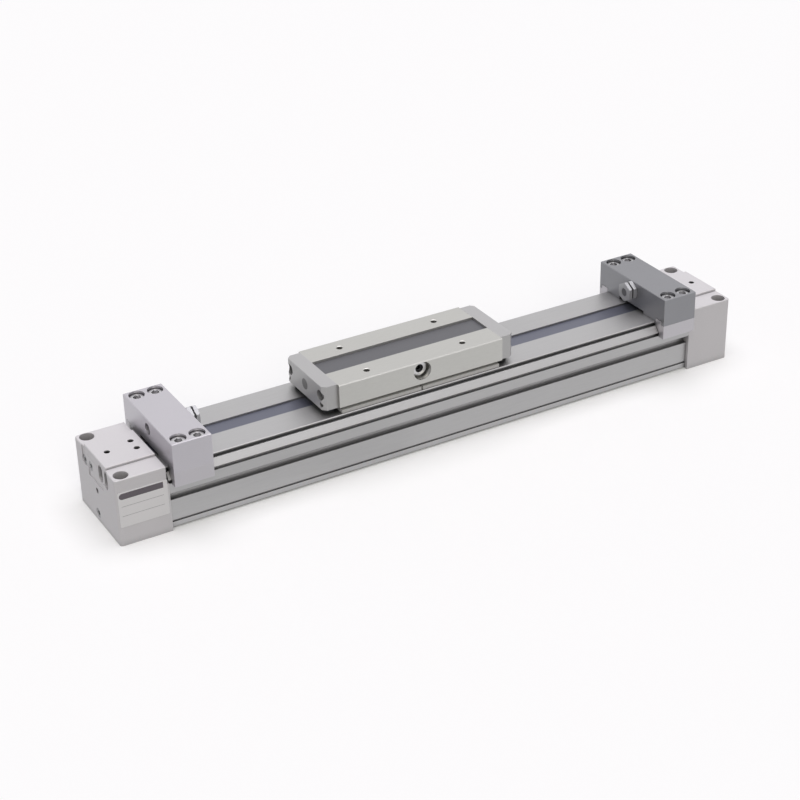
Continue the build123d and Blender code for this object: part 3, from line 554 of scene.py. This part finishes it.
# Screws and nuts
def hex_socket(piece, top, flats, depth):
    """Hexagon socket with a drilled cone at its bottom and a small bevel at its mouth."""
    corner = flats / math.sqrt(3)
    past = 0.001
    tool = round_piece("socket", (0, 0, top - depth / 2 + past / 2), corner, depth + past, sides=6)
    piece = cut(piece, tool)
    drill_length, drill_drop, mouth_length = 0.0008, 0.0003, 0.0005
    piece = cut(piece, cone_piece("drill", (0, 0, top - depth - drill_drop), 0, flats * 0.45, drill_length))
    return cut(piece, cone_piece("mouth", (0, 0, top), flats * 0.42, flats * 0.62, mouth_length))


def cap_screw(name, head, height, flats, shank, length):
    """Socket head cap screw that stands on Z = 0, with a knurled head and its shank below."""
    ridge_sides = 96
    groove_share = 0.975
    body = round_piece(name, (0, 0, height / 2), head / 2, height, sides=ridge_sides)
    pick(body, "EDGE", lambda edge: abs(run(edge).z) > 0.9)
    ridges = bmesh.from_edit_mesh(body.data)
    for edge in ridges.edges:
        if edge.select:
            spoke = math.atan2(middle(edge).y, middle(edge).x) / (2 * math.pi) * ridge_sides
            edge.select_set(round(spoke) % 2 == 0)
    bmesh.update_edit_mesh(body.data)
    bpy.ops.transform.resize(value=(groove_share, groove_share, 1), center_override=(0, 0, 0))
    pick(body, "EDGE", lambda edge: middle(edge).z > height * 0.9 and abs(run(edge).z) < 0.1)
    bpy.ops.mesh.bevel(offset=head * 0.05, segments=3, affect="EDGES")
    only()
    hex_socket(body, height, flats, height * 0.5)
    stem = round_piece("stem", (0, 0, -length / 2), shank / 2, length, sides=32)
    pick(stem, "EDGE", lambda edge: middle(edge).z < -length * 0.9 and abs(run(edge).z) < 0.1)
    bpy.ops.mesh.bevel(offset=shank * 0.1, segments=1, affect="EDGES")
    only()
    screw = joined(name, [body, stem])
    only(screw)
    bpy.ops.object.shade_smooth_by_angle(angle=math.radians(28))
    return screw


def hex_nut(name, flats, height, hole=0.0):
    """Hexagon that stands on Z = 0, with its corners rounded off by a turned bevel."""
    corner = flats / math.sqrt(3)
    nut = round_piece(name, (0, 0, height / 2), corner, height, sides=6)
    turned = round_piece("turned", (0, 0, height / 2), corner * 0.995, height, sides=72)
    pick(turned, "EDGE", lambda edge: abs(run(edge).z) < 0.1)
    bpy.ops.mesh.bevel(offset_type="OFFSET", offset=(corner - flats / 2) * 0.95, segments=2, profile=0.6)
    only()
    cut(nut, turned, "INTERSECT")
    if hole:
        cut(nut, round_piece("hole", (0, 0, height / 2), hole / 2, height * 2, sides=48))
    return soften(nut, fine_edge, 1)


def set_of(name, model, node, places, metal):
    """Upright copies of one model at several places, as one piece that stands for the node."""
    copies = [copy_to(model, name, Matrix.Translation(place)) for place in places]
    return put(joined(name, copies), node, metal)


def seats(node, head, level):
    """Middles of the four heads of a set of screws, at the level of their seats."""
    low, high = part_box(node)
    reach = head / 2
    spots = []
    for first in (low.x + reach, high.x - reach):
        for second in (low.y + reach, high.y - reach):
            spots.append(Vector((first, second, level)))
    return spots


holder_head, holder_head_height, holder_flats = 0.010, 0.006, 0.005
holder_shank, holder_length = 0.006, 0.0153
holder_sizes = (holder_head, holder_head_height, holder_flats, holder_shank, holder_length)
holder_model = cap_screw("holder_screw", *holder_sizes)
for side in ("left", "right"):
    node = "holder_screws_" + side
    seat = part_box(node)[1].z - holder_head_height
    set_of("cap_screws_" + side, holder_model, node, seats(node, holder_head, seat), screw_steel)

clamp_screw_size, clamp_screw_length = 0.003, 0.0074
clamp_screw_spacing = 0.0185
clamp_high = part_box("band_clamp_screws")[1]
clamp_middle = (0, 0, -clamp_screw_length / 2)
clamp_model = round_piece("clamp_screw", clamp_middle, clamp_screw_size / 2, clamp_screw_length, sides=32)
hex_socket(clamp_model, 0, clamp_screw_size / 2, clamp_screw_size / 2)
only(clamp_model)
bpy.ops.object.shade_smooth_by_angle(angle=math.radians(30))
clamp_places = []
for side in (-1, 1):
    outer = side * (clamp_high.x - clamp_screw_size / 2)
    inner = outer - side * clamp_screw_spacing
    row = clamp_high.y - clamp_screw_size / 2
    clamp_places += [(outer, 0, clamp_high.z), (inner, -row, clamp_high.z), (inner, row, clamp_high.z)]
set_of("set_screws", clamp_model, "band_clamp_screws", clamp_places, dark_steel)

side_low, side_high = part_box("side_adjusting_nuts")
side_middle = (side_low + side_high) / 2
screw_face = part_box("side_adjusting_screws")[1].y
side_nut_flats, side_nut_height, side_nut_hole = 0.010, 0.0024, 0.0061
side_screw_radius, side_screw_length, side_screw_flats = 0.003, 0.008, 0.003
nut_model = hex_nut("side_nut", side_nut_flats, side_nut_height, side_nut_hole)
screw_middle = (0, 0, -side_screw_length / 2)
screw_model = round_piece("side_screw", screw_middle, side_screw_radius, side_screw_length, sides=40)
hex_socket(screw_model, 0, side_screw_flats, side_screw_flats)
soften(screw_model, fine_edge, 1)
side_nuts = []
side_screws = []
for sign in (-1, 1):
    turn = facing("Y", sign)
    face = side_high.y * sign
    seat = Vector((side_middle.x, face - sign * side_nut_height, side_middle.z))
    side_nuts.append(copy_to(nut_model, "side_nut_copy", Matrix.Translation(seat) @ turn))
    seat = Vector((side_middle.x, screw_face * sign, side_middle.z))
    side_screws.append(copy_to(screw_model, "side_screw_copy", Matrix.Translation(seat) @ turn))
put(joined("side_nuts", side_nuts), "side_adjusting_nuts", screw_steel)
put(joined("side_set_screws", side_screws), "side_adjusting_screws", dark_steel)

bolt_flats, bolt_radius, bolt_key = 0.013, 0.004, 0.004
head_length, key_depth = 0.0026, 0.004
lock_nut_height, lock_nut_hole = 0.0032, 0.0081
bumper_seat_radius, bumper_seat_depth = 0.003, 0.002
lock_nut_model = hex_nut("lock_nut", bolt_flats, lock_nut_height, lock_nut_hole)
bolt_head_model = hex_nut("bolt_head", bolt_flats, head_length)
flat_top = Matrix.Rotation(math.pi / 6, 4, "Z")
for side, sign in (("left", 1), ("right", -1)):
    low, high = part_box("lock_nut_" + side)
    middle_z = (low.z + high.z) / 2
    seat = Vector((low.x if sign > 0 else high.x, 0, middle_z))
    turn = facing("X", sign)
    nut = copy_to(lock_nut_model, "lock_nut_edged_" + side, Matrix.Translation(seat) @ turn @ flat_top)
    put(nut, "lock_nut_" + side, plated_steel)
    low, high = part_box("stop_bolt_" + side)
    face = high.x if sign > 0 else low.x
    back = low.x if sign > 0 else high.x
    seat = Vector((face - sign * head_length, 0, middle_z))
    head = copy_to(bolt_head_model, "bolt_head_copy", Matrix.Translation(seat) @ turn @ flat_top)
    centre = (face, 0, middle_z)
    cut(head, round_piece("bumper_seat", centre, bumper_seat_radius, 2 * bumper_seat_depth, "X", 40))
    length = abs(seat.x - back)
    shank = round_piece("shank", ((seat.x + back) / 2, 0, middle_z), bolt_radius, length, "X", 40)
    cut(shank, round_piece("key", (back, 0, middle_z), bolt_key / math.sqrt(3), 2 * key_depth, "X", 6))
    bolt = joined("stop_bolt_edged_" + side, [head, shank])
    put(bolt, "stop_bolt_" + side, plated_steel)
    low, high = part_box("stop_bumper_" + side)
    centre = (low + high) / 2
    bumper = round_piece("bumper_" + side, centre, (high.z - low.z) / 2, high.x - low.x, "X", 40)
    put(soften(bumper, bumper_edge, 3), "stop_bumper_" + side, bumper_urethane)

for model in (holder_model, clamp_model, nut_model, screw_model, lock_nut_model, bolt_head_model):
    bpy.data.objects.remove(model)


# Label
low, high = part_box("name_label")
label = box_piece("blank_label", low, high)
pick(label, "EDGE", lambda edge: abs(run(edge).y) > 0.9)
label_corner = 0.0008
bpy.ops.mesh.bevel(offset=label_corner, segments=4, affect="EDGES")
only(label)
bpy.ops.object.shade_smooth_by_angle(angle=math.radians(30))
put(label, "name_label", label_film)


# Bands, flat over the tube and bent round the carriage
band_thickness = 0.0004
bend_steps = 10


def bent_band(name, node, rise, level, flat_half, ramp, side, metal):
    """One half of a band: flat from its end, bent by the rise, then level to the carriage's middle."""
    low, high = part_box(node)
    table_low, table_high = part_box("slide_table")
    centre = (table_low.x + table_high.x) / 2
    foot = centre + side * (flat_half + ramp)
    end = low.x if side < 0 else high.x
    band = box_piece(name, (min(end, foot), low.y, level), (max(end, foot), high.y, level + band_thickness))
    pick(band, "FACE", lambda face: face.normal.x * side < -0.9)
    passed = 0.0
    for step in range(1, bend_steps + 1):
        share = step / bend_steps
        climbed = rise * share * share * (3 - 2 * share)
        move = (-side * ramp / bend_steps, 0, climbed - passed)
        bpy.ops.mesh.extrude_region_move(TRANSFORM_OT_translate={"value": move})
        passed = climbed
    bpy.ops.mesh.extrude_region_move(TRANSFORM_OT_translate={"value": (-side * flat_half, 0, 0)})
    only(band)
    bpy.ops.object.shade_smooth_by_angle(angle=math.radians(20))
    cover_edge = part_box("cylinder_tube")[0].x if side < 0 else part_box("cylinder_tube")[1].x
    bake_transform(band, "cylinder", "carriage", start=(cover_edge, 0, level), end=(foot, 0, level))
    return put(band, node, metal)


dust_rise, dust_flat_half, dust_ramp = 0.0051, 0.040, 0.022
belt_drop, belt_flat_half, belt_ramp = 0.0068, 0.044, 0.020
dust_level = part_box("outer_dust_band")[0].z
belt_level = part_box("inner_seal_belt")[1].z - band_thickness
for side, word in ((-1, "left"), (1, "right")):
    bent_band("dust_band_" + word, "outer_dust_band", dust_rise, dust_level, dust_flat_half, dust_ramp, side,
              band_metal)
    bent_band("seal_belt_" + word, "inner_seal_belt", -belt_drop, belt_level, belt_flat_half, belt_ramp, side,
              belt_plastic)


# Floor
floor_size = 12
only()
bpy.ops.mesh.primitive_plane_add(size=floor_size, location=(0, 0, 0))
floor = fresh("studio_floor")
floor_paint = bpy.data.materials.new("white_studio_floor")
floor_paint.use_nodes = True
tree = floor_paint.node_tree
surface = tree.nodes["Principled BSDF"]
surface.inputs["Roughness"].default_value = 0.9
surface.inputs["Specular IOR Level"].default_value = 0.0


def seen_directly(tree):
    """1 for what the camera, a reflection or a clear piece shows, otherwise 0."""
    rays = node_in(tree, "ShaderNodeLightPath").outputs
    plain = maths(tree, "MAXIMUM", rays["Is Camera Ray"], rays["Is Glossy Ray"])
    return maths(tree, "MAXIMUM", plain, rays["Is Transmission Ray"])


# The floor looks white but throws less light back up, and reflections see it as bright as the backdrop.
lit_floor, seen_floor = (0.4, 0.4, 0.4, 1), (1.0, 1.0, 1.0, 1)
floor_colour = blend_colours(tree, seen_directly(tree), lit_floor, seen_floor)
tree.links.new(floor_colour, surface.inputs["Base Color"])
glow = node_in(tree, "ShaderNodeEmission")
choice = node_in(tree, "ShaderNodeMixShader")
tree.links.new(node_in(tree, "ShaderNodeLightPath").outputs["Is Glossy Ray"], choice.inputs[0])
tree.links.new(surface.outputs[0], choice.inputs[1])
tree.links.new(glow.outputs[0], choice.inputs[2])
tree.links.new(choice.outputs[0], tree.nodes["Material Output"].inputs[0])
floor.data.materials.append(floor_paint)

# Light
world = bpy.data.worlds.new("studio")
bpy.context.scene.world = world
world.use_nodes = True
tree = world.node_tree
light = tree.nodes["Background"]
light.inputs["Color"].default_value = (0.96, 0.97, 1.0, 1)
light.inputs["Strength"].default_value = 0.32
backdrop = node_in(tree, "ShaderNodeBackground")
backdrop.inputs["Color"].default_value = (1, 1, 1, 1)
choice = node_in(tree, "ShaderNodeMixShader")
tree.links.new(seen_directly(tree), choice.inputs[0])
tree.links.new(light.outputs[0], choice.inputs[1])
tree.links.new(backdrop.outputs[0], choice.inputs[2])
tree.links.new(choice.outputs[0], tree.nodes["World Output"].inputs[0])


def soft_sun(name, position, strength, spread, tint):
    """A broad sun lamp that shines from a place towards the part."""
    only()
    bpy.ops.object.light_add(type="SUN", location=position)
    lamp = bpy.context.object
    lamp.name = name
    lamp.rotation_euler = (-Vector(position)).to_track_quat("-Z", "Y").to_euler()
    lamp.data.energy = strength
    lamp.data.angle = math.radians(spread)
    lamp.data.color = tint


soft_sun("overhead_light", (0.1, 0.0, 2.4), 1.7, 60, (0.985, 0.965, 1.0))
soft_sun("front_light", (-0.7, -1.8, 1.5), 0.72, 40, (1.0, 0.97, 0.84))

# Camera, from the place fitted to the photograph
camera_place = (-0.5792, -0.9979, 0.6608)
camera_lens, camera_sensor = 84.46, 36
azimuth, elevation, roll = math.radians(-29.354), math.radians(29.059), math.radians(-1.357)
back = Vector((math.sin(azimuth) * math.cos(elevation), -math.cos(azimuth) * math.cos(elevation),
               math.sin(elevation)))
right = Vector((0, 0, 1)).cross(back).normalized()
up = back.cross(right)
rolled_right = right * math.cos(roll) + up * math.sin(roll)
rolled_up = up * math.cos(roll) - right * math.sin(roll)
only()
bpy.ops.object.camera_add(location=camera_place)
camera = bpy.context.object
camera.name = "studio_camera"
camera.rotation_euler = Matrix((rolled_right, rolled_up, back)).transposed().to_euler()
camera.data.sensor_width = camera_sensor
camera.data.lens = camera_lens
bpy.context.scene.camera = camera
bpy.context.scene.view_settings.view_transform = "Standard"
